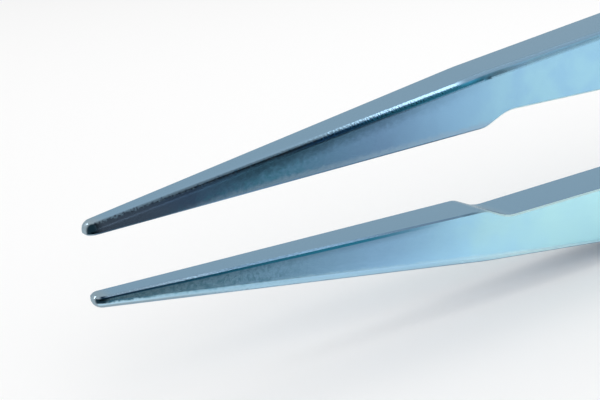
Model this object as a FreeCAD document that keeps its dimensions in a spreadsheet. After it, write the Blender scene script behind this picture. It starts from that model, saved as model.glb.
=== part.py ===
"""Fine thumb forceps: two mirrored arms that meet at the heel. Millimetres.

Each arm is drawn in its own frame: x runs from the tip to the heel, z is the height above the middle
plane between the arms, and y is across the width. The finished forceps lie on the flat outer face of
the lower arm's grip, so the whole frame is then lifted by half the height over the grips.
"""

import FreeCAD, Part
import math
import os

import Sketcher

# Driving dimensions
SIZES = {
    # along the arm
    "overall_length": 120.0,
    "nose_length": 21.5,
    "step_length": 1.52,
    "heel_length": 14.0,
    "heel_sides_length": 19.0,
    # places along the arm, measured from the tip as shares of the overall length
    "inner_bend_share": 0.31,
    "outer_bend_share": 0.32,
    "waist_share": 0.36,
    "grip_face_start_share": 0.45,
    "grip_start_share": 0.517,
    "grip_end_share": 0.70,
    "grip_face_end_share": 0.745,
    # heights and thicknesses, seen from the side
    "tip_gap": 2.66,
    "tip_thickness": 0.53,
    "nose_inner_slope": 0.0404,
    "nose_outer_slope": 0.15,
    "step_depth": 0.67,
    "shank_outer_slope": 0.12,
    "grip_height": 15.0,
    "grip_thickness": 1.6,
    "spring_thickness": 1.3,
    "heel_height": 4.8,
    # widths, seen from above
    "tip_width": 0.94,
    "tip_corner_radius": 0.45,
    "nose_width": 2.6,
    "waist_width": 3.7,
    "side_draft": 3.2,
    "grip_width": 9.0,
    "heel_width": 6.4,
    "heel_corner_radius": 2.2,
    # bends and edges
    "step_crest_radius": 1.6,
    "step_root_radius": 2.6,
    "shank_bend_radius": 25.0,
    "spring_bend_radius": 16.0,
    "slot_root_radius": 0.9,
    "side_blend_radius": 40.0,
    "outer_edge_radius": 0.38,
    "inner_edge_bevel": 0.08,
    # flutes across the grip
    "flute_count": 11,
    "flute_pitch": 1.9,
    "flute_depth": 0.25,
    "flute_cutter_radius": 0.6,
    # how far the side cut runs past the ends of the blank
    "cut_overrun": 1.0,
}

doc = FreeCAD.newDocument("thumb_forceps")


def add_sheet(sizes):
    """A spreadsheet that holds every driving dimension under its own name."""
    sheet = doc.addObject("Spreadsheet::Sheet", "sizes")
    for row, (name, value) in enumerate(sizes.items(), start=1):
        sheet.set(f"A{row}", name)
        sheet.set(f"B{row}", str(value))
        sheet.setAlias(f"B{row}", name)
    return sheet


sheet = add_sheet(SIZES)
doc.recompute()


def size(name):
    return float(sheet.get(name))


# Sketch helpers


def origin_feature(body, role):
    """One of the body's own planes or axes."""
    return next(o for o in body.Origin.OriginFeatures if o.Role == role)


def add_sketch(body, name, role):
    """A sketch on one of the body's own planes."""
    sketch = body.newObject("Sketcher::SketchObject", name)
    sketch.AttachmentSupport = [(origin_feature(body, role), "")]
    sketch.MapMode = "FlatFace"
    return sketch


def value_of(sketch, expression):
    return float(sketch.evalExpression(expression))


def hold(sketch, direction, geometry, end, expression):
    """Ties one end point's distance from the origin, along X or Y, to the sheet."""
    value = value_of(sketch, expression)
    if value < 0:
        ends = (geometry, end, -1, 1)
        expression = f"-({expression})"
    else:
        ends = (-1, 1, geometry, end)
    index = sketch.addConstraint(Sketcher.Constraint(direction, *ends, abs(value)))
    sketch.setExpression(f"Constraints[{index}]", expression)


def add_outline(sketch, corners):
    """A closed outline of straight sides. A corner is x, y and the radius that rounds it, or no radius."""
    count = len(corners)
    places = [FreeCAD.Vector(value_of(sketch, c[0]), value_of(sketch, c[1]), 0) for c in corners]
    leave = [(places[(i + 1) % count] - places[i]).normalize() for i in range(count)]
    starts, arrivals, arcs = [], [], []
    for i, corner in enumerate(corners):
        come = leave[i - 1]
        if len(corner) == 2:
            starts.append(places[i])
            arrivals.append(places[i])
            arcs.append(None)
            continue
        radius = value_of(sketch, corner[2])
        turn = come.x * leave[i].y - come.y * leave[i].x
        reach = radius * math.tan(come.getAngle(leave[i]) / 2)
        arrivals.append(places[i] - come * reach)
        starts.append(places[i] + leave[i] * reach)
        inward = FreeCAD.Vector(-come.y, come.x, 0) * math.copysign(radius, turn)
        arcs.append((arrivals[i] + inward, radius, turn > 0))

    # side i runs from corner i to corner i + 1
    for i in range(count):
        sketch.addGeometry(Part.LineSegment(starts[i], arrivals[(i + 1) % count]), False)
    for i, arc in enumerate(arcs):
        side_before, side_after = (i - 1) % count, i
        if arc is None:
            sketch.addConstraint(Sketcher.Constraint("Coincident", side_before, 2, side_after, 1))
            hold(sketch, "DistanceX", side_after, 1, corners[i][0])
            hold(sketch, "DistanceY", side_after, 1, corners[i][1])
            continue
        centre, radius, leftward = arc
        first, last = (arrivals[i], starts[i]) if leftward else (starts[i], arrivals[i])
        circle = Part.Circle(centre, FreeCAD.Vector(0, 0, 1), radius)
        bow = Part.ArcOfCircle(circle, circle.parameter(first), circle.parameter(last))
        bend = sketch.addGeometry(bow, False)
        corner = sketch.addGeometry(Part.Point(places[i]), True)
        ends = (1, 2) if leftward else (2, 1)
        sketch.addConstraint(Sketcher.Constraint("Tangent", side_before, 2, bend, ends[0]))
        sketch.addConstraint(Sketcher.Constraint("Tangent", bend, ends[1], side_after, 1))
        sketch.addConstraint(Sketcher.Constraint("PointOnObject", corner, 1, side_before))
        sketch.addConstraint(Sketcher.Constraint("PointOnObject", corner, 1, side_after))
        rounding = sketch.addConstraint(Sketcher.Constraint("Radius", bend, radius))
        sketch.setExpression(f"Constraints[{rounding}]", corners[i][2])
        hold(sketch, "DistanceX", corner, 1, corners[i][0])
        hold(sketch, "DistanceY", corner, 1, corners[i][1])


# Places along the arm and heights above the middle plane

INNER_BEND = "sizes.inner_bend_share * sizes.overall_length"
OUTER_BEND = "sizes.outer_bend_share * sizes.overall_length"
GRIP_FACE_START = "sizes.grip_face_start_share * sizes.overall_length"
GRIP_FACE_END = "sizes.grip_face_end_share * sizes.overall_length"
WAIST = "sizes.waist_share * sizes.overall_length"
GRIP_START = "sizes.grip_start_share * sizes.overall_length"
GRIP_END = "sizes.grip_end_share * sizes.overall_length"
HEEL_START = "sizes.overall_length - sizes.heel_length"
HEEL_SIDES_START = "sizes.overall_length - sizes.heel_sides_length"
PAST_HEEL = "sizes.overall_length + sizes.cut_overrun"
STEP_HEIGHT = "sizes.tip_gap / 2 + sizes.nose_inner_slope * sizes.nose_length"
RELIEF_HEIGHT = f"{STEP_HEIGHT} + sizes.step_depth"
TIP_OUTSIDE = "sizes.tip_gap / 2 + sizes.tip_thickness"
SHOULDER_HEIGHT = f"{TIP_OUTSIDE} + sizes.nose_outer_slope * sizes.nose_length"
SHANK_RISE = f"sizes.shank_outer_slope * ({OUTER_BEND} - sizes.nose_length)"
GRIP_INSIDE = "sizes.grip_height / 2 - sizes.grip_thickness"
HEEL_INSIDE = "sizes.heel_height / 2 - sizes.spring_thickness"

# The side view of an arm: from the tip along the inner face to the heel, and back along the outer face
SIDE_VIEW = (
    ("-sizes.cut_overrun", "sizes.tip_gap / 2 - sizes.nose_inner_slope * sizes.cut_overrun"),
    ("sizes.nose_length", STEP_HEIGHT, "sizes.step_crest_radius"),
    ("sizes.nose_length + sizes.step_length", RELIEF_HEIGHT, "sizes.step_root_radius"),
    (INNER_BEND, RELIEF_HEIGHT, "sizes.shank_bend_radius"),
    (GRIP_FACE_START, GRIP_INSIDE, "sizes.shank_bend_radius"),
    (GRIP_FACE_END, GRIP_INSIDE, "sizes.spring_bend_radius"),
    (HEEL_START, HEEL_INSIDE, "sizes.slot_root_radius"),
    (HEEL_START, "0"),
    (PAST_HEEL, "0"),
    (PAST_HEEL, "sizes.heel_height / 2"),
    (HEEL_START, "sizes.heel_height / 2", "sizes.spring_bend_radius"),
    (GRIP_FACE_END, "sizes.grip_height / 2", "sizes.spring_bend_radius"),
    (GRIP_FACE_START, "sizes.grip_height / 2", "sizes.shank_bend_radius"),
    (OUTER_BEND, f"{SHOULDER_HEIGHT} + {SHANK_RISE}", "sizes.shank_bend_radius"),
    ("sizes.nose_length", SHOULDER_HEIGHT, "sizes.shank_bend_radius"),
    ("-sizes.cut_overrun", f"{TIP_OUTSIDE} - sizes.nose_outer_slope * sizes.cut_overrun"),
)


def add_side_cut():
    """The side view, swept across more than the arm's full width."""
    body = doc.addObject("PartDesign::Body", "side_cut")
    sketch = add_sketch(body, "side_view", "XZ_Plane")
    add_outline(sketch, SIDE_VIEW)
    pad = body.newObject("PartDesign::Pad", "side_sweep")
    pad.Profile = sketch
    pad.Midplane = True
    pad.setExpression("Length", "sizes.grip_width * 2")
    return body


def lean(height):
    """How far the sides have leaned outward from the middle plane up to this height."""
    return f"tan(sizes.side_draft * 1deg) * ({height})"


# The view from above, on the middle plane: a round tip, a straight nose, a slim shank to the waist, the
# flare to the grip, the narrowing spring and the heel. The sides lean outward from here, to the named
# widths higher up.
NEAR_SIDE = (
    (
        lean(TIP_OUTSIDE),
        f"sizes.tip_width / 2 - {lean('sizes.tip_gap / 2')}",
        f"sizes.tip_corner_radius - {lean('sizes.tip_gap / 2')}",
    ),
    ("sizes.nose_length", f"sizes.nose_width / 2 - {lean(STEP_HEIGHT)}", "sizes.side_blend_radius"),
    (WAIST, f"sizes.waist_width / 2 - {lean(RELIEF_HEIGHT)}", "sizes.side_blend_radius"),
    (GRIP_START, f"sizes.grip_width / 2 - {lean('sizes.grip_height / 2')}", "sizes.side_blend_radius"),
    (GRIP_END, f"sizes.grip_width / 2 - {lean('sizes.grip_height / 2')}", "sizes.side_blend_radius"),
    (HEEL_SIDES_START, "sizes.heel_width / 2", "sizes.side_blend_radius"),
    (
        f"sizes.overall_length - {lean('sizes.heel_height / 2')}",
        "sizes.heel_width / 2",
        "sizes.heel_corner_radius",
    ),
)
FAR_SIDE = tuple((x, f"-({y})", radius) for x, y, radius in reversed(NEAR_SIDE))


def add_blank(body):
    """The bar that the arm is cut from, with sides that lean outward as a forged blank's do."""
    sketch = add_sketch(body, "top_view", "XY_Plane")
    add_outline(sketch, NEAR_SIDE + FAR_SIDE)
    bar = body.newObject("PartDesign::Pad", "bar")
    bar.Profile = sketch
    bar.setExpression("Length", "sizes.grip_height")
    doc.recompute()
    draft = body.newObject("PartDesign::Draft", "leaning_sides")
    draft.Base = (bar, face_names(bar.Shape, is_side))
    draft.NeutralPlane = (origin_feature(body, "XY_Plane"), [""])
    draft.Reversed = True
    draft.setExpression("Angle", "sizes.side_draft")
    doc.recompute()
    return draft


# Picking faces, and edges by the faces that they separate


def middle_of(face):
    u_low, u_high, v_low, v_high = face.ParameterRange
    return face.valueAt((u_low + u_high) / 2, (v_low + v_high) / 2)


def face_names(shape, is_face):
    return [f"Face{i}" for i, f in enumerate(shape.Faces, start=1) if is_face(f, middle_of(f))]


def normal_at(face, point):
    u, v = face.Surface.parameter(point)
    return face.normalAt(u, v)


def middle(edge):
    return edge.valueAt((edge.FirstParameter + edge.LastParameter) / 2)


def is_outer(face, point):
    return normal_at(face, point).z > 0.9


def is_inner(face, point):
    """Is this one of the faces that look at the other arm, apart from the heel pad's joint?"""
    normal = normal_at(face, point)
    across_width = abs(normal.y) < 1e-4 and face.Surface.TypeId in ("Part::GeomPlane", "Part::GeomCylinder")
    return across_width and normal.z < 0.05 and normal.x < 0.5 and face.BoundBox.ZMax > 1e-3


def is_side(face, point):
    return abs(normal_at(face, point).z) < 0.3 and not is_inner(face, point)


def rim_edges(shape, is_face):
    """The edges between the arm's sides and the faces of one kind."""
    names = []
    for i, edge in enumerate(shape.Edges, start=1):
        faces = shape.ancestorsOfType(edge, Part.Face)
        if len(faces) != 2:
            continue
        point = middle(edge)
        if any(is_face(f, point) for f in faces) and any(is_side(f, point) for f in faces):
            names.append(f"Edge{i}")
    return names


def finish_rim(body, name, base, is_face, kind, extent, value):
    """Breaks every edge between the arm's sides and the faces of one kind, by a rounding or a bevel."""
    rim = body.newObject(f"PartDesign::{kind}", name)
    rim.Base = (base, rim_edges(base.Shape, is_face))
    rim.setExpression(extent, value)
    doc.recompute()
    return rim


def add_flutes(body):
    """Round-bottomed grooves across the outer face of the grip, evenly about its middle."""
    sketch = add_sketch(body, "flute_section", "XZ_Plane")
    x = f"({GRIP_START} + {GRIP_END}) / 2 - sizes.flute_pitch * (sizes.flute_count - 1) / 2"
    z = "sizes.grip_height / 2 - sizes.flute_depth + sizes.flute_cutter_radius"
    centre = FreeCAD.Vector(value_of(sketch, x), value_of(sketch, z), 0)
    radius = size("flute_cutter_radius")
    sketch.addGeometry(Part.Circle(centre, FreeCAD.Vector(0, 0, 1), radius), False)
    index = sketch.addConstraint(Sketcher.Constraint("Radius", 0, radius))
    sketch.setExpression(f"Constraints[{index}]", "sizes.flute_cutter_radius")
    hold(sketch, "DistanceX", 0, 3, x)
    hold(sketch, "DistanceY", 0, 3, z)

    flute = body.newObject("PartDesign::Pocket", "flute")
    flute.Profile = sketch
    flute.Midplane = True
    flute.setExpression("Length", "sizes.grip_width * 2")
    doc.recompute()
    flutes = body.newObject("PartDesign::LinearPattern", "flutes")
    flutes.Originals = [flute]
    flutes.Direction = (origin_feature(body, "X_Axis"), [""])
    flutes.setExpression("Length", "sizes.flute_pitch * (sizes.flute_count - 1)")
    flutes.setExpression("Occurrences", "sizes.flute_count")
    body.Tip = flutes
    doc.recompute()
    return flutes


def add_arm(name):
    """One arm: a blank cut to the side view, then rounded and fluted."""
    body = doc.addObject("PartDesign::Body", name)
    add_blank(body)
    cut = body.newObject("PartDesign::Boolean", "cut_to_side_view")
    cut.addObjects([add_side_cut()])
    cut.Type = "Common"
    doc.recompute()
    outer = finish_rim(body, "outer_edges", cut, is_outer, "Fillet", "Radius", "sizes.outer_edge_radius")
    finish_rim(body, "inner_edges", outer, is_inner, "Chamfer", "Size", "sizes.inner_edge_bevel")
    add_flutes(body)
    body.setExpression("Placement.Base.x", "-sizes.overall_length / 2")
    body.setExpression("Placement.Base.z", "sizes.grip_height / 2")
    return body


def add_mirrored_arm(name, arm):
    """The other arm, turned over about the middle plane, where the two heel pads meet."""
    mirrored = doc.addObject("Part::Mirroring", name)
    mirrored.Source = arm
    mirrored.Normal = FreeCAD.Vector(0, 0, 1)
    mirrored.setExpression("Base.z", "sizes.grip_height / 2")
    return mirrored


upper_arm = add_arm("upper_arm")
lower_arm = add_mirrored_arm("lower_arm", upper_arm)
doc.recompute()

# Every feature must have been made, and each arm must be one sound solid, before anything is written

for item in doc.Objects:
    if "Invalid" in item.State or "Error" in item.State:
        raise RuntimeError(f"{item.Label} was not made: {item.State}")

os.makedirs("parts", exist_ok=True)
for piece in (upper_arm, lower_arm):
    shape = piece.Shape
    if shape.isNull() or not shape.isValid() or len(shape.Solids) != 1:
        raise RuntimeError(f"{piece.Label} is not one sound solid")
    shape.exportStep(f"parts/{piece.Label}.step")
    solid = shape.Solids[0]
    print(piece.Label, f"{solid.Volume:.1f} mm3, middle of mass at", solid.CenterOfMass, shape.BoundBox)
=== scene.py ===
# %% [markdown]
# # Fine thumb forceps in blue anodised titanium
# The forceps are two long thin arms that meet at the heel. Their shapes are solids that were drawn to
# measure, so this lesson loads them as they are and gives them what a drawing leaves out: the colours of
# the oxide film, the grain of the grinding wheel, the worn tips, the light of a small studio and the
# camera. The loading comes first, because every later step is placed by these solids. Lengths are in
# metres, the tips point towards -X and the lower arm's grip lies on the floor at z = 0.

# %% Load the arms
import math
from collections import namedtuple

import bpy
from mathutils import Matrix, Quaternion, Vector


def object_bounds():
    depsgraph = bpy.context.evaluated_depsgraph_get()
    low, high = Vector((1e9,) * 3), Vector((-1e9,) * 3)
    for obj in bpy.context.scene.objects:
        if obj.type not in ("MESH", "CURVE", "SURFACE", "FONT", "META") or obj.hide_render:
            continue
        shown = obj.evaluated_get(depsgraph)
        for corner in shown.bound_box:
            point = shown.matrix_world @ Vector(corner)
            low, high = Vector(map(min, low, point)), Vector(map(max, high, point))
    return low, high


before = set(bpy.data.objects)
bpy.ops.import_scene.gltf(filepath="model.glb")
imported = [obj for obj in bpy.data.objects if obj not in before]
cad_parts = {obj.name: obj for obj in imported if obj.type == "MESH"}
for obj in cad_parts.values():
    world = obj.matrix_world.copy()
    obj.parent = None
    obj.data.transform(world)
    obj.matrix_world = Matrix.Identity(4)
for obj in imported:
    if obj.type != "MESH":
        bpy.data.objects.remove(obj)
drawn_low, drawn_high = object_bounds()
arms = [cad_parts[name] for name in ("upper_arm", "lower_arm")]
MM = 0.001
print("arms:", [arm.name for arm in arms], "size in mm:", [round(v / MM, 1) for v in drawn_high - drawn_low])

# %% [markdown]
# ## One method for every node
# A shader is a web of nodes, and wiring it by hand takes many lines for each sum. A wire is one socket
# with the rules of arithmetic: adding, taking away or multiplying wires and numbers adds the Math nodes
# that work it out. Every other node comes from one method that sets the node's own choices first and then
# the values or links of its sockets.


# %% Wires
class Wire:
    """One socket of a shader. Sums and products with wires and numbers add Math nodes."""

    def __init__(self, tree, socket=None):
        self.tree = tree
        self.socket = socket

    def node(self, kind, settings=None, inputs=None, output=0):
        """Adds a node: its settings, then the values or links of its sockets. Returns one of its outputs."""
        node = self.tree.nodes.new(kind)
        for name, value in (settings or {}).items():
            if name == "stops":
                ramp = node.color_ramp
                for place, colour in value[len(ramp.elements):]:
                    ramp.elements.new(place)
                for element, (place, colour) in zip(ramp.elements, value):
                    element.position = place
                    element.color = (*colour, 1.0)
            else:
                setattr(node, name, value)
        for name, value in (inputs or {}).items():
            if isinstance(value, Wire):
                self.tree.links.new(value.socket, node.inputs[name])
            else:
                node.inputs[name].default_value = value
        return Wire(self.tree, node.outputs[output])

    def math(self, operation, *values):
        return self.node("ShaderNodeMath", {"operation": operation}, dict(enumerate(values)))

    def __add__(self, other):
        return self.math("ADD", self, other)

    __radd__ = __add__

    def __sub__(self, other):
        return self.math("SUBTRACT", self, other)

    def __rsub__(self, other):
        return self.math("SUBTRACT", other, self)

    def __mul__(self, other):
        return self.math("MULTIPLY", self, other)

    __rmul__ = __mul__

    def axis(self, name):
        """One part of a vector: X, Y or Z."""
        return self.node("ShaderNodeSeparateXYZ", inputs={"Vector": self}, output=name)

    def fade(self, start, end):
        """0 at start, 1 at end, and a smooth rise between them."""
        choices = {"interpolation_type": "SMOOTHSTEP"}
        return self.node("ShaderNodeMapRange", choices, {"Value": self, "From Min": start, "From Max": end})

    def mix(self, first, second):
        """A colour that goes from the first to the second as this wire goes from 0 to 1."""
        first, second = (c if isinstance(c, Wire) else (*c, 1.0) for c in (first, second))
        # several sockets of the Mix node share a name, so the factor and the two colours go by number
        sockets = {0: self, 6: first, 7: second}
        return self.node("ShaderNodeMix", {"data_type": "RGBA"}, sockets, output=2)


def new_material(name):
    """A new material, its Principled shader, and a loose wire to build from."""
    material = bpy.data.materials.new(name)
    material.use_nodes = True
    shader = material.node_tree.nodes["Principled BSDF"]
    return material, shader, Wire(material.node_tree)


print("wires can add, subtract, multiply, fade, mix and take a vector apart")

# %% [markdown]
# ## The anodised film
# Titanium is coloured without paint: a current grows a clear oxide film, and light that is reflected from
# the film's two sides leaves a colour that depends on its thickness. On the flat faces the film is even.
# On the ground sides the colour drifts from navy at the tips to cyan towards the grips: partly the film's own
# drift and partly a painted reflection of the room. Along the edges it breaks up into flecks that the wheel
# left, and into bands and lines that are painted shade and painted reflection. An image could hold all that,
# but it would need unwrapped arms. Here the base colour of a bare metal is worked out from a point's place
# instead: how far it is from the tip and from the edges, and which way its surface looks.

# %% Tones
# A tone is one colour laid on the film: the film's own, or a painted shade or painted reflection. Its share
# is how much of it shows. Its start is the pair of places where it appears and where it is full, and its end
# the pair where it begins to fade and where it is gone, in mm from the tip. Its reach is the pair across
# which its mask fades in, in mm from an edge or as a part of the surface's normal.
Tone = namedtuple("Tone", "colour share start end reach", defaults=(1.0, None, None, None))

# The navy is painted shade and the pale edge a painted reflection; the blue, grey and teal are the metal's
# own.
FACE_BLUE = (0.245, 0.386, 0.512)
WORN_GREY = (0.310, 0.400, 0.460)
SHADE_NAVY = (0.030, 0.085, 0.130)
FLECK_TEAL = (0.060, 0.250, 0.360)
PALE_REFLECTION = (0.750, 0.980, 1.000)
print("a tone has", ", ".join(Tone._fields))

# %% [markdown]
# ## Where a point lies on an arm
# The film needs to know how far a point is from the tip and from the two long edges of the nose. The
# nose's faces are flat and lean evenly, so their heights are straight lines in the distance from the tip,
# and no map has to be painted or unwrapped. The distances are in mm, because the features are that small.

# %% Places
TIP_X = drawn_low.x
MIDDLE_Z = (drawn_low.z + drawn_high.z) / 2
# The nose as it was drawn, in mm: half the gap and half the height at the tips, and how much they grow
# with each mm from the tip.
TIP_HALF_GAP = 1.33
INNER_SLOPE = 0.0404
TIP_HALF_HEIGHT = 1.86
OUTER_SLOPE = 0.15
# Broken edges and flecks: the cells of their noise in a metre, how far an edge wanders in mm, and the
# levels of the noise across which a fleck appears.
CHIP_SCALE = 4500.0
CHIP_WANDER = 0.5
FLECK_SCALE = 5200.0
FLECK_LEVELS = (0.46, 0.60)


class Place:
    """Wires for a point of one arm. Outward is 1 where the arm's outer face looks up, else -1."""

    def __init__(self, wire, outward):
        self.place = wire.node("ShaderNodeTexCoord", output="Object")
        normal = wire.node("ShaderNodeNewGeometry", output="Normal")
        self.across = wire.math("ABSOLUTE", normal.axis("Y"))
        self.outwards = normal.axis("Z") * outward
        self.endways = wire.math("ABSOLUTE", normal.axis("X"))
        self.from_tip = (self.place.axis("X") - TIP_X) * (1 / MM)
        height = wire.math("ABSOLUTE", self.place.axis("Z") - MIDDLE_Z) * (1 / MM)
        self.from_inner = height - (self.from_tip * INNER_SLOPE + TIP_HALF_GAP)
        self.from_outer = (self.from_tip * OUTER_SLOPE + TIP_HALF_HEIGHT) - height

    def noise(self, scale, detail=2.0):
        """Noise around 0.5. The scale is the number of its cells in a metre."""
        inputs = {"Vector": self.place, "Scale": scale, "Detail": detail}
        return self.place.node("ShaderNodeTexNoise", inputs=inputs)

    def chips(self):
        """How far a broken edge wanders to either side, in mm."""
        return (self.noise(CHIP_SCALE) - 0.5) * CHIP_WANDER

    def flecks(self):
        """1 in the flecks that the wheel left, 0 between them."""
        return self.noise(FLECK_SCALE).fade(*FLECK_LEVELS)

    def stretch(self, start=None, end=None):
        """1 along a stretch of the arm that comes and goes as a tone's start and end say."""
        share = 1.0
        if start:
            share = self.from_tip.fade(*start) * share
        if end:
            share = self.from_tip.fade(*reversed(end)) * share
        return share

    def lay(self, film, tone, mask=1.0):
        """The film with a tone over it, where the mask and the tone's stretch let it show."""
        return (self.stretch(tone.start, tone.end) * mask * tone.share).mix(film, tone.colour)


print("the nose is", round(2 * TIP_HALF_HEIGHT, 2), "mm high over both tips, with a gap of", 2 * TIP_HALF_GAP)

# %% [markdown]
# ## Clouds on the shank and the grip
# From the shank to the grip the colour wavers softly over a millimetre or two, as clouds do. Large noise
# makes them, and they are a little denser towards the inner edge.

# %% Clouds
CLOUD_SCALE = 620.0
CLOUD_INNER_REACH = (3.2, 0.8)
CLOUD_INNER_GAIN = 0.09
CLOUD_LEVELS = (0.36, 0.72)


def clouds(point):
    """1 in the middle of a cloud, 0 between clouds."""
    thickness = point.noise(CLOUD_SCALE) + point.from_inner.fade(*CLOUD_INNER_REACH) * CLOUD_INNER_GAIN
    return thickness.fade(*CLOUD_LEVELS)


print("a cloud is about", round(1 / CLOUD_SCALE / MM, 1), "mm across")

# %% [markdown]
# ## The sides of the upper arm
# The upper arm's nose is nearly navy, partly its film's colour and partly a painted dark reflection. Under
# its rolled edge runs a painted shade, along its inner edge a pale rim, and teal flecks lie between them. The
# roll itself is painted with reflections that turn from blue to teal, and it ends in a dark painted shade at
# the shank. Each is a tone, laid over the last one, so that their order is easy to change.

# %% Film on the upper arm
# The colours of the sides, by the share of the ramp's length from the tip, which is in mm. Their rise from
# dark at the tip to pale at the shank is partly the film's own drift and partly a painted reflection.
RAMP_LENGTH = 30.0
UPPER_SIDES = (
    (0.0, (0.105, 0.150, 0.210)),
    (0.09, (0.105, 0.165, 0.250)),
    (0.14, (0.078, 0.145, 0.250)),
    (0.20, (0.105, 0.240, 0.390)),
    (0.27, (0.125, 0.330, 0.490)),
    (0.47, (0.180, 0.330, 0.520)),
    (0.67, (0.247, 0.458, 0.665)),
    (0.87, (0.283, 0.522, 0.708)),
)
UPPER_CLOUDS = Tone((0.335, 0.605, 0.715), share=0.55, start=(19.0, 24.0))
UPPER_FLECKS = Tone(FLECK_TEAL, share=0.5, start=(3.0, 5.0), end=(9.0, 13.0), reach=(0.5, 0.9))
# Painted shade: navy laid on the side under the rolled edge.
UPPER_SHADE = Tone(SHADE_NAVY, share=0.88, start=(4.0, 8.0), end=(8.0, 24.0), reach=(1.05, 0.35))
UPPER_RIM = Tone((0.290, 0.450, 0.600), share=0.85, start=(3.5, 6.5), reach=(0.42, 0.18))
# Painted reflections on the roll: blue, then teal, and a dark painted shade at its tail.
ROLL_BLUE_REFLECTION = Tone((0.060, 0.270, 0.600), start=(9.5, 11.5), end=(14.0, 17.0), reach=(0.70, 0.84))
ROLL_TEAL_REFLECTION = Tone((0.070, 0.420, 0.660), start=(12.0, 16.0), end=(20.5, 22.5), reach=(0.70, 0.86))
ROLL_TAIL_SHADE = Tone(SHADE_NAVY, start=(20.3, 21.3), end=(22.0, 24.0), reach=(0.62, 0.80))
# The roll starts where the normal has turned this far outwards, and further where the painted shade climbs
# it.
ROLL_TURN = (0.07, 0.23)
CLIMB = {"start": (8.5, 11.0), "end": (14.0, 18.0)}
CLIMB_TURN = 0.13
# The rim is wider near the tip, in mm, and its edge wanders by a part of the chips.
WIDE_RIM = {"end": (5.0, 10.0)}
WIDE_RIM_GAIN = 0.12
RIM_CHIPS = 0.7
# The painted shade of the tail is broken by noise, from its least share up.
TAIL_SCALE = 2600.0
TAIL_CONTRAST = 0.4
TAIL_LEAST = 0.3


def film_of_upper(point, side):
    """Clouds, flecks, the painted shade under the rolled edge, the pale rim, then the roll's painted
    reflections.
    """
    chips = point.chips()
    below_roll = point.from_outer + chips
    on_roll = (point.outwards - point.stretch(**CLIMB) * CLIMB_TURN).fade(*ROLL_TURN)
    above_inner = point.from_inner + chips * RIM_CHIPS + point.stretch(**WIDE_RIM) * WIDE_RIM_GAIN
    side = point.lay(side, UPPER_CLOUDS, clouds(point))
    side = point.lay(side, UPPER_FLECKS, point.flecks() * below_roll.fade(*UPPER_FLECKS.reach))
    side = point.lay(side, UPPER_SHADE, below_roll.fade(*UPPER_SHADE.reach) * (1.0 - on_roll))
    side = point.lay(side, UPPER_RIM, above_inner.fade(*UPPER_RIM.reach))
    for tone in (ROLL_BLUE_REFLECTION, ROLL_TEAL_REFLECTION):
        side = point.lay(side, tone, on_roll * point.across.fade(*tone.reach))
    broken = point.noise(TAIL_SCALE) * TAIL_CONTRAST + TAIL_LEAST
    return point.lay(side, ROLL_TAIL_SHADE, on_roll * point.across.fade(*ROLL_TAIL_SHADE.reach) * broken)


print("the upper arm's sides have", len(UPPER_SIDES), "colours along them")

# %% [markdown]
# ## The sides of the lower arm
# The lower arm's film is paler. A thin navy line of painted shade, with a fainter painted shade beside it,
# follows the inner edge and turns teal away from the tip. A light band of painted reflection runs along the
# outer edge. It lies over a dark patch at the very tip, and towards the grip a wider pale painted reflection
# covers it. Near the tip the roll is worn grey. These are tones laid over each other again, but the line has
# a colour of its own that changes along the way.

# %% Film on the lower arm
# The lower sides' colours on the same ramp: partly the film's own drift and partly a painted reflection.
LOWER_SIDES = (
    (0.0, (0.240, 0.400, 0.470)),
    (0.10, (0.240, 0.440, 0.560)),
    (0.27, (0.250, 0.480, 0.670)),
    (0.47, (0.312, 0.570, 0.835)),
    (0.67, (0.390, 0.720, 0.950)),
    (0.87, (0.460, 0.800, 0.890)),
)
LOWER_CLOUDS = Tone((0.500, 0.850, 0.900), share=0.5, start=(17.0, 22.0))
LOWER_FLECKS = Tone(FLECK_TEAL, share=0.4, end=(6.0, 12.0))
# Painted shade beside the inner edge, which faces the upper arm.
LOWER_SHADE = Tone(SHADE_NAVY, share=0.35, end=(15.0, 20.0), reach=(0.6, 0.1))
TIP_PATCH = Tone((0.036, 0.126, 0.190), share=0.9, end=(2.0, 3.0), reach=(0.42, 0.37))
# Painted reflections of the bright table along the outer edge: a light band, and a pale edge towards the
# grip.
PAINTED_REFLECTION_BAND = Tone((0.500, 0.750, 0.900), reach=(0.41, 0.29))
LOWER_EDGE_REFLECTION = Tone(PALE_REFLECTION, share=0.9, start=(17.0, 26.0), reach=(0.55, 0.28))
WORN_ROLL = Tone(WORN_GREY, end=(3.0, 8.0), reach=(0.3, 0.6))
# The painted shade line's two colours, where the first becomes the second, and how the line widens, in mm.
LINE_NAVY = (0.003, 0.030, 0.080)
LINE_TEAL = (0.030, 0.250, 0.400)
LINE_TURNS_TEAL = (-2.0, 12.0)
LINE_END = (13.0, 19.5)
LINE_REACH = (0.14, 0.10)
LINE_FIRST_WIDENING = (0.5, 6.0)
LINE_FIRST_GAIN = 0.07
LINE_NEXT_WIDENING = (6.0, 11.0)
LINE_NEXT_GAIN = 0.03
# The painted reflection band widens away from the tip and is drawn in at the tip, in mm. It is strongest on
# the roll and at the tip.
AT_TIP_END = (1.5, 3.5)
BAND_WIDENING = (3.0, 11.0)
BAND_GAIN = 0.12
BAND_TIP_LOSS = 0.03
BAND_CHIPS = 0.5
BAND_ROLL_TURN = (0.1, 0.5)
BAND_ROLL_SHARE = 0.35
BAND_TIP_SHARE = 0.25
BAND_LEAST = 0.5
EDGE_CHIPS = 0.3


def painted_shade_line(point, side):
    """The thin line of painted shade along the inner edge."""
    first_gain = point.from_tip.fade(*LINE_FIRST_WIDENING) * LINE_FIRST_GAIN
    next_gain = point.from_tip.fade(*LINE_NEXT_WIDENING) * LINE_NEXT_GAIN
    line = (point.from_inner - (first_gain + next_gain)).fade(*LINE_REACH) * point.stretch(end=LINE_END)
    return line.mix(side, point.from_tip.fade(*LINE_TURNS_TEAL).mix(LINE_NAVY, LINE_TEAL))


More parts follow.
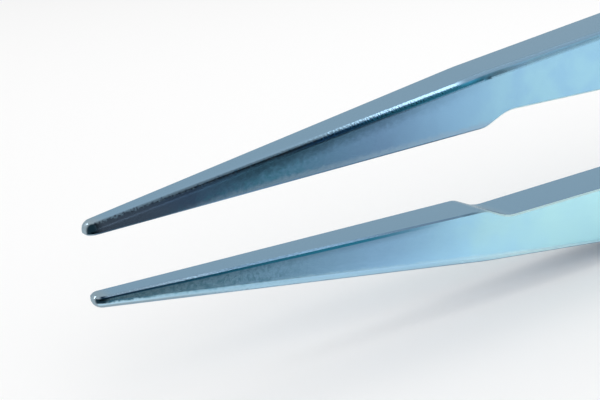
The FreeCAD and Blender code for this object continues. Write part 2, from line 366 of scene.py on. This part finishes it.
def film_of_lower(point, side):
    """Clouds, flecks, painted shade and its line at the inner edge, then the outer edge: patch, painted
    reflections of a light band and a pale edge, and wear.
    """
    chips = point.chips()
    at_tip = point.stretch(end=AT_TIP_END)
    band_gain = point.from_tip.fade(*BAND_WIDENING) * BAND_GAIN - at_tip * BAND_TIP_LOSS
    band = (point.from_outer - band_gain + chips * BAND_CHIPS).fade(*PAINTED_REFLECTION_BAND.reach)
    on_roll = point.outwards.fade(*BAND_ROLL_TURN)
    band_share = on_roll * BAND_ROLL_SHARE + at_tip * BAND_TIP_SHARE + BAND_LEAST
    side = point.lay(side, LOWER_CLOUDS, clouds(point))
    side = point.lay(side, LOWER_FLECKS, point.flecks())
    side = point.lay(side, LOWER_SHADE, point.from_inner.fade(*LOWER_SHADE.reach))
    side = painted_shade_line(point, side)
    side = point.lay(side, TIP_PATCH, point.from_outer.fade(*TIP_PATCH.reach))
    side = point.lay(side, PAINTED_REFLECTION_BAND, band * band_share)
    side = point.lay(side, LOWER_EDGE_REFLECTION, (point.from_outer + chips * EDGE_CHIPS).fade(*LOWER_EDGE_REFLECTION.reach))
    return point.lay(side, WORN_ROLL, point.outwards.fade(*WORN_ROLL.reach))


print("the lower arm's sides have", len(LOWER_SIDES), "colours along them")

# %% [markdown]
# ## Faces, nose and bevel
# The flat faces are one even blue grey, with a painted shade on the slope of the step, and worn at the very
# tip. They meet the sides on the rolled edge, in a line that the wheel left broken along the nose. The round
# of the tip has a nearly black core of painted reflection. The narrow bevel along the inner edge has painted
# reflections of its own near the tip and further back, and it is pale at the grip. Each of these is found by
# the way its surface looks.

# %% Faces, nose and bevel
# Painted shade on the step's slope; the grey at the tip is real wear.
STEP_SLOPE_SHADE = Tone((0.170, 0.280, 0.360), start=(15.0, 17.0), reach=(0.15, 0.45))
TIP_WEAR = Tone(WORN_GREY, end=(0.2, 1.0))
# Painted dark reflection in the core of the tip's round.
TIP_CORE_REFLECTION = Tone((0.010, 0.028, 0.042), end=(0.30, 0.75), reach=(0.35, 0.60))
# Painted pale reflection on the bevel at the grip.
GRIP_BEVEL_REFLECTION = Tone(PALE_REFLECTION, start=(20.5, 22.5))
# The parts of the normal across which a face becomes a side. Along the nose the line between them is
# broken into teeth. It is moved towards the face at the tip, and an overlap moves it down the roll.
SIDE_TURN = (0.60, 0.78)
TEETH_SCALE = 9500.0
TEETH_DEPTH = 1.1
TEETH_TURN = (0.3, 0.6)
TEETH_END = (8.0, 14.0)
TIP_LINE_SHIFT = 0.10
TIP_LINE_END = (1.0, 4.0)
OVERLAP_END = (10.0, 13.0)
# The painted core's inner limit and the softness of its outer one, by the outward part of the normal.
CORE_INNER_TURN = (-0.5, -0.2)
CORE_SOFTNESS = 0.15
# The bevel looks sideways and inwards, and its colours are painted reflections. It narrows away from the
# tip, in mm, and its colour changes there.
BEVEL_SIDE_TURN = (0.3, 0.5)
BEVEL_INNER_TURN = (-0.3, -0.5)
NOSE_BEVEL = {"start": (0.3, 0.6), "end": (19.0, 23.0)}
BEVEL_NARROWING = (0.5, 8.0)
BEVEL_LOSS = 0.03
BEVEL_SOFTNESS = 0.025
BEVEL_TURNS = (2.5, 7.0)


def film_of_face(point):
    """The even film of the flat faces, with painted shade on the step's slope and the worn tip."""
    face = point.lay(FACE_BLUE, STEP_SLOPE_SHADE, point.endways.fade(*STEP_SLOPE_SHADE.reach))
    return point.lay(face, TIP_WEAR)


def side_mask(point, overlap):
    """1 on the sides and 0 on the faces. The overlap carries the face's colour onto the nose's roll."""
    noise = point.noise(TEETH_SCALE, 1.0) - 0.5
    teeth = noise * point.stretch(end=TEETH_END) * point.outwards.fade(*TEETH_TURN) * TEETH_DEPTH
    shift = point.stretch(end=TIP_LINE_END) * TIP_LINE_SHIFT - point.stretch(end=OVERLAP_END) * overlap
    return (point.across + teeth + shift).fade(*SIDE_TURN)


def film_of_nose(point, film, core_edge):
    """The painted dark reflection in the core of the tip's round. The core edge is how far outwards it
    climbs.
    """
    core = point.across.fade(*TIP_CORE_REFLECTION.reach) * point.outwards.fade(*CORE_INNER_TURN)
    return point.lay(film, TIP_CORE_REFLECTION, core * point.outwards.fade(core_edge + CORE_SOFTNESS, core_edge))


def film_of_bevel(point, film, colours, width):
    """Painted reflections on the bevel along the inner edge: its tip's colour, its shank's colour and the
    grip's pale one.
    """
    on_bevel = point.across.fade(*BEVEL_SIDE_TURN) * point.outwards.fade(*BEVEL_INNER_TURN)
    from_edge = point.from_inner - point.from_tip.fade(*BEVEL_NARROWING) * BEVEL_LOSS
    nose_bevel = on_bevel * point.stretch(**NOSE_BEVEL) * from_edge.fade(width + BEVEL_SOFTNESS, width)
    film = nose_bevel.mix(film, point.from_tip.fade(*BEVEL_TURNS).mix(*colours))
    return point.lay(film, GRIP_BEVEL_REFLECTION, on_bevel)


print("the bevel turns pale from", GRIP_BEVEL_REFLECTION.start[0], "to", GRIP_BEVEL_REFLECTION.start[1], "mm from the tips")

# %% [markdown]
# ## The grain of the wheel
# Under the clear film the metal keeps the marks of the wheel: a fine grain all over and chatter along the
# rolled edges, which glitter because of it. Behind the nose the roll is a dull satin. Noise on the
# roughness and a shallow bump give all this, where carved marks would take millions of faces.

# %% Grain
GRAIN_SCALE = 9000.0
GRAIN_DETAIL = 4.0
GRAIN_HEIGHT = 0.16
BUMP_DEPTH = 0.01 * MM
CHATTER_SCALE = 8500.0
CHATTER_HEIGHT = 0.65
CHATTER_TURN = (0.0, 0.2)
CHATTER_GROWTH = (8.0, 12.0)
CHATTER_GAIN = 0.6
CHATTER_LEAST = 0.6
# The roll lies between these parts of the normal. Its roughness and the chatter change along the way.
ROLL_BEGINS = (0.15, 0.35)
ROLL_ENDS = (0.97, 0.85)
SATIN_START = (19.3, 20.3)
SATIN_ROUGHNESS = 0.46
POLISH = 0.09
METAL_ROUGHNESS = 0.24
GRAIN_ROUGHNESS = 0.10


def ground_metal(point):
    """The roughness and the normal of the ground metal."""
    grain = point.noise(GRAIN_SCALE, GRAIN_DETAIL)
    roll = point.across.fade(*ROLL_BEGINS) * point.across.fade(*ROLL_ENDS)
    satin = point.stretch(start=SATIN_START) * SATIN_ROUGHNESS
    roughness = METAL_ROUGHNESS + (grain - 0.5) * GRAIN_ROUGHNESS + roll * (satin - POLISH)
    strength = point.from_tip.fade(*CHATTER_GROWTH) * CHATTER_GAIN + CHATTER_LEAST
    chatter = point.noise(CHATTER_SCALE, 1.0) * CHATTER_HEIGHT * roll * point.outwards.fade(*CHATTER_TURN)
    height = grain * GRAIN_HEIGHT + chatter * strength
    bump = {"Strength": 1.0, "Distance": BUMP_DEPTH, "Height": height}
    return roughness, point.place.node("ShaderNodeBump", inputs=bump)


print("the grain is", round(1 / GRAIN_SCALE / MM, 2), "mm fine")

# %% [markdown]
# ## The finish of each arm
# Both arms have the same finish with other colours. A full metal takes its colour from the film, and its
# edge tint is a pale blue, so that it doesn't turn white where it is seen at a low angle.

# %% Finish both arms
EDGE_TINT = (0.63, 0.73, 0.78, 1.0)
# The colours along the sides drift to and fro, by a wide noise and a fine one: their cells in a metre and
# their reaches in mm.
DRIFT_SCALES = (150.0, 900.0)
DRIFT_REACHES = (5.0, 2.5)
DRIFT_DETAIL = 3.0


def anodised_titanium(name, outward, sides, film_of_side, overlap, core_edge, bevel, bevel_width):
    """The film on one arm, and the grain of the wheel under it."""
    material, shader, wire = new_material(name)
    point = Place(wire, outward)
    wide, fine = ((point.noise(s, DRIFT_DETAIL) - 0.5) * r for s, r in zip(DRIFT_SCALES, DRIFT_REACHES))
    share = (point.from_tip + (wide + fine)) * (1 / RAMP_LENGTH)
    side = film_of_side(point, wire.node("ShaderNodeValToRGB", {"stops": sides}, {0: share}))
    film = side_mask(point, overlap).mix(film_of_face(point), side)
    film = film_of_nose(point, film, core_edge)
    film = film_of_bevel(point, film, bevel, bevel_width)
    roughness, normal = ground_metal(point)
    shader.inputs["Metallic"].default_value = 1.0
    shader.inputs["Specular Tint"].default_value = EDGE_TINT
    for socket, value in {"Base Color": film, "Roughness": roughness, "Normal": normal}.items():
        material.node_tree.links.new(value.socket, shader.inputs[socket])
    return material


finishes = (
    anodised_titanium(
        "anodised_upper",
        outward=1,
        sides=UPPER_SIDES,
        film_of_side=film_of_upper,
        overlap=0.13,
        core_edge=0.65,
        # the bevel's painted reflections, near the tip and further back
        bevel=((0.045, 0.090, 0.140), (0.320, 0.440, 0.550)),
        bevel_width=0.085,
    ),
    anodised_titanium(
        "anodised_lower",
        outward=-1,
        sides=LOWER_SIDES,
        film_of_side=film_of_lower,
        overlap=0.0,
        core_edge=0.20,
        # the bevel's painted reflections, near the tip and further back
        bevel=((0.520, 0.760, 1.000), (0.140, 0.245, 0.360)),
        bevel_width=0.040,
    ),
)
for arm, finish in zip(arms, finishes):
    arm.data.materials.clear()
    arm.data.materials.append(finish)
    print("finish of", arm.name, "is", finish.name, "with", len(finish.node_tree.nodes), "nodes")

# %% [markdown]
# ## The studio
# Polished metal has hardly a look of its own: it shows the room. The room is a plain white table under an
# even white sky. A lamp in front fills the table's shadows, and the metal doesn't see it. A soft box
# overhead draws the bright line along the rolled edges.


# %% Floor and sky
FLOOR_WHITE = (0.95, 0.95, 0.95, 1.0)
SKY_LEVEL = 0.875


def plain_material(name, colour):
    """A dull paint with no gloss."""
    material, shader, wire = new_material(name)
    shader.inputs["Base Color"].default_value = colour
    shader.inputs["Roughness"].default_value = 1.0
    shader.inputs["Specular IOR Level"].default_value = 0.0
    return material


def add_card(name, width, depth, place, turn, material):
    """A flat card of the studio. The turn is in degrees."""
    bpy.ops.object.select_all(action="DESELECT")
    bpy.ops.mesh.primitive_plane_add(size=1.0, location=place, rotation=[math.radians(t) for t in turn])
    card = bpy.context.object
    card.name = name
    card.scale = (width, depth, 1.0)
    card.data.materials.append(material)
    return card


table_paint = plain_material("white_table", FLOOR_WHITE)
add_card("floor", width=4.0, depth=4.0, place=(0, 0, 0), turn=(0, 0, 0), material=table_paint)

world = bpy.data.worlds.new("sky")
bpy.context.scene.world = world
world.use_nodes = True
sky = world.node_tree.nodes["Background"]
sky.inputs["Color"].default_value = (1.0, 1.0, 1.0, 1.0)
sky.inputs["Strength"].default_value = SKY_LEVEL
bpy.context.scene.view_settings.view_transform = "Standard"
print("the sky is", SKY_LEVEL, "of white over a floor of", FLOOR_WHITE[0])

# %% Soft boxes
NOSE = Vector((-0.046, 0.0, 0.010))


def add_softbox(name, place, aim, width, height, radiance):
    """A rectangle of light that looks as bright as the radiance says, where 1 is white."""
    bpy.ops.object.light_add(type="AREA", location=place)
    lamp = bpy.context.object
    lamp.name = name
    lamp.data.shape = "RECTANGLE"
    lamp.data.size = width
    lamp.data.size_y = height
    lamp.data.energy = radiance * math.pi * width * height
    lamp.rotation_mode = "QUATERNION"
    lamp.rotation_quaternion = (Vector(aim) - Vector(place)).to_track_quat("-Z", "Y")
    lamp.visible_camera = False
    return lamp


def from_nose(azimuth, elevation, distance):
    """A place in the room, seen from the middle of the nose. The angles are in degrees."""
    a, e = math.radians(azimuth), math.radians(elevation)
    way = Vector((math.cos(a) * math.cos(e), math.sin(a) * math.cos(e), math.sin(e)))
    return NOSE + way * distance


front_fill = add_softbox(
    "front_fill", from_nose(-100, 40, 0.8), aim=(-0.030, 0.0, 0.0), width=0.5, height=0.5, radiance=1.3
)
front_fill.visible_glossy = False
overhead = add_softbox(
    "overhead_softbox", from_nose(2, 59.3, 0.25), aim=NOSE, width=0.165, height=0.055, radiance=2.35
)
print("lamps:", front_fill.name, "and", overhead.name)

# %% [markdown]
# ## Cards for the metal
# The tones in the sides are reflections as well, so the sides need something to reflect. Three cards glow
# by a ramp: one lies on the table in front of the arms, one stands before them, and a bright window beyond
# the tips puts the glint on their ends. A black flag and a black mat give the dark tones. Only the metal
# sees the cards: they hide from the camera, light nothing dull and cast no shadow.


# %% Cards
def graded_material(name, stops, axis):
    """A card that glows from end to end as the stops say, along its width (X) or its depth (Y)."""
    material, shader, wire = new_material(name)
    shader.inputs["Base Color"].default_value = (0.0, 0.0, 0.0, 1.0)
    shader.inputs["Specular IOR Level"].default_value = 0.0
    shader.inputs["Emission Strength"].default_value = 1.0
    along = wire.node("ShaderNodeTexCoord", output="Object").axis(axis) + 0.5
    colours = [(place, (level, level, level)) for place, level in stops]
    glow = wire.node("ShaderNodeValToRGB", {"stops": colours}, {0: along})
    material.node_tree.links.new(glow.socket, shader.inputs["Emission Color"])
    return material


TABLE_STOPS = ((0.0, 0.15), (0.27, 0.30), (0.37, 0.56), (0.45, 0.95), (0.6, 1.20))
FRONT_STOPS = ((0.0, 0.34), (0.60, 0.34), (0.74, 0.40), (0.86, 0.55), (1.0, 0.70))
WINDOW_STOPS = ((0.0, 1.4), (0.7, 1.8), (0.85, 9.0))
black = plain_material("black_card", (0.02, 0.02, 0.025, 1.0))
cards = (
    add_card(
        "table_card",
        width=0.150,
        depth=0.055,
        place=(-0.015, -0.0395, 0.0003),
        turn=(0, 0, 0),
        material=graded_material("table_grade", TABLE_STOPS, "X"),
    ),
    add_card(
        "front_card",
        width=0.258,
        depth=0.69,
        place=(0.0140, -0.1873, 0.2955),
        turn=(52, 0, 24),
        material=graded_material("front_grade", FRONT_STOPS, "Y"),
    ),
    add_card(
        "black_flag",
        width=0.075,
        depth=0.30,
        place=from_nose(-65, 29, 0.28),
        turn=(61, 0, 25),
        material=black,
    ),
    add_card(
        "black_mat",
        width=0.070,
        depth=0.23,
        place=(0.038, -0.182, 0.0002),
        turn=(0, 0, 25),
        material=black,
    ),
    add_card(
        "window_card",
        width=0.030,
        depth=0.160,
        place=from_nose(139, 30, 0.25),
        turn=(60, 0, 229),
        material=graded_material("window_grade", WINDOW_STOPS, "Y"),
    ),
)
for card in cards:
    card.visible_camera = False
    card.visible_diffuse = False
    card.visible_shadow = False
print("cards that only the metal sees:", [card.name for card in cards])

# %% [markdown]
# ## The camera
# The photograph was taken from very near, with the tips as the nearest part. The camera stands about 42 mm
# from them, off to one side, looks a little down and is tilted by a few degrees. Its place and aim were
# fitted to the edges that the photograph shows.

# %% Camera
CAMERA_PLACE = Vector((-73.972, -37.268, 21.648)) * MM
CAMERA_AIM = Vector((0.52826, 0.79707, -0.29261))
CAMERA_TILT = math.radians(-3.484)
LENS = 60.0
SENSOR_WIDTH = 36.0
bpy.ops.object.camera_add(location=CAMERA_PLACE)
camera = bpy.context.object
camera.rotation_mode = "QUATERNION"
level = CAMERA_AIM.to_track_quat("-Z", "Y")
camera.rotation_quaternion = level @ Quaternion((0.0, 0.0, 1.0), CAMERA_TILT)
camera.data.lens = LENS
camera.data.sensor_width = SENSOR_WIDTH
camera.data.clip_start = 1 * MM
bpy.context.scene.camera = camera
bpy.context.view_layer.update()
to_tips = Vector((TIP_X, 0.0, MIDDLE_Z)) - CAMERA_PLACE
print("the camera is", round(to_tips.length / MM), "mm from the tips")
